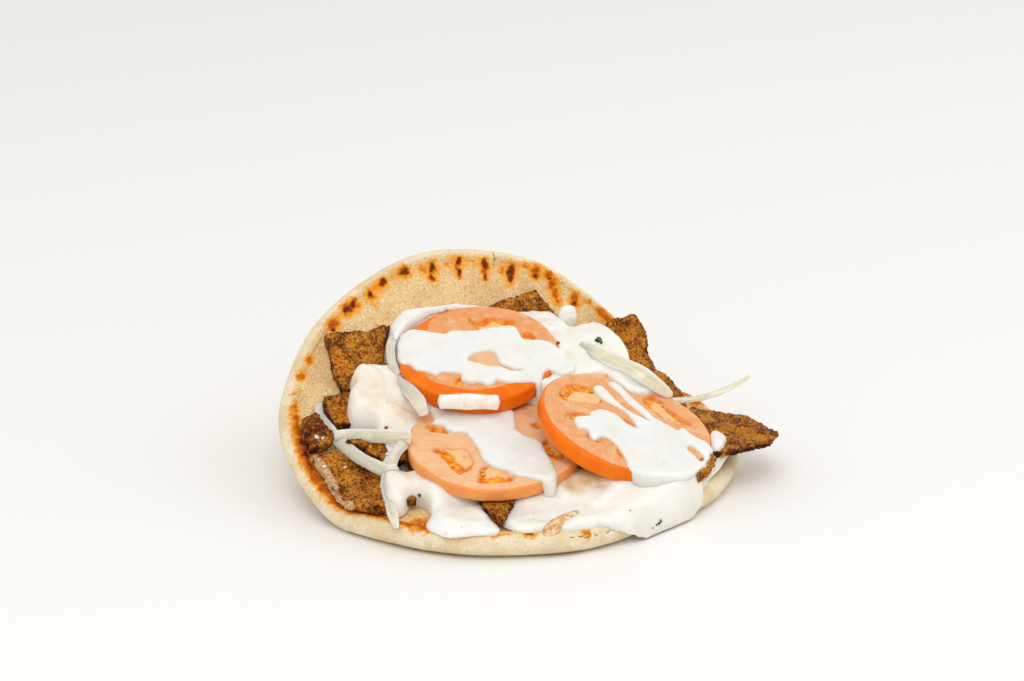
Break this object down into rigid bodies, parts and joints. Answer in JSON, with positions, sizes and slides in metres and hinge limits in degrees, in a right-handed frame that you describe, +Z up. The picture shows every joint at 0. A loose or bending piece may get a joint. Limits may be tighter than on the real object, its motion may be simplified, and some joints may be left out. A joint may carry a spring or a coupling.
{
  "type": "gyro",
  "caption": "Open gyro: a pita folded loosely round a heap of browned sliced meat, onion strips, white yoghurt sauce and tomato slices.",
  "frame": {"origin": "middle of the food's bounding box, on the surface it rests on", "axes": "+X along the pita's fold, +Y towards the raised flap, +Z up"},
  "size_m": [0.1854, 0.1718, 0.0684],
  "materials": {
    "pita": "matt baked flatbread, cream with fine brown specks and a ring of toasted marks",
    "tomato": "moist cut tomato, salmon flesh, orange-red skin and seed gel",
    "meat": "browned crumbly gyro meat with dark seared edges",
    "onion": "translucent pale green-white raw onion",
    "tzatziki": "smooth glossy white yoghurt sauce with faint herb flecks"
  },
  "bodies": {
    "root": {"pita": "pita", "tomato_1": "tomato", "tomato_2": "tomato", "tomato_3": "tomato", "meat_1": "meat", "meat_2": "meat", "meat_3": "meat", "meat_4": "meat", "meat_5": "meat", "meat_6": "meat", "meat_7": "meat", "meat_8": "meat", "meat_9": "meat", "meat_10": "meat", "meat_11": "meat", "meat_12": "meat", "onion_1": "onion", "onion_2": "onion", "onion_3": "onion", "onion_4": "onion", "onion_5": "onion", "onion_6": "onion", "onion_7": "onion", "onion_8": "onion", "onion_9": "onion", "sauce_on_tomato_1": "tzatziki", "sauce_on_tomato_2": "tzatziki", "sauce_on_tomato_3": "tzatziki", "sauce_drop_1": "tzatziki", "sauce_drop_2": "tzatziki", "sauce_bed": "tzatziki"}
  },
  "joints": []
}
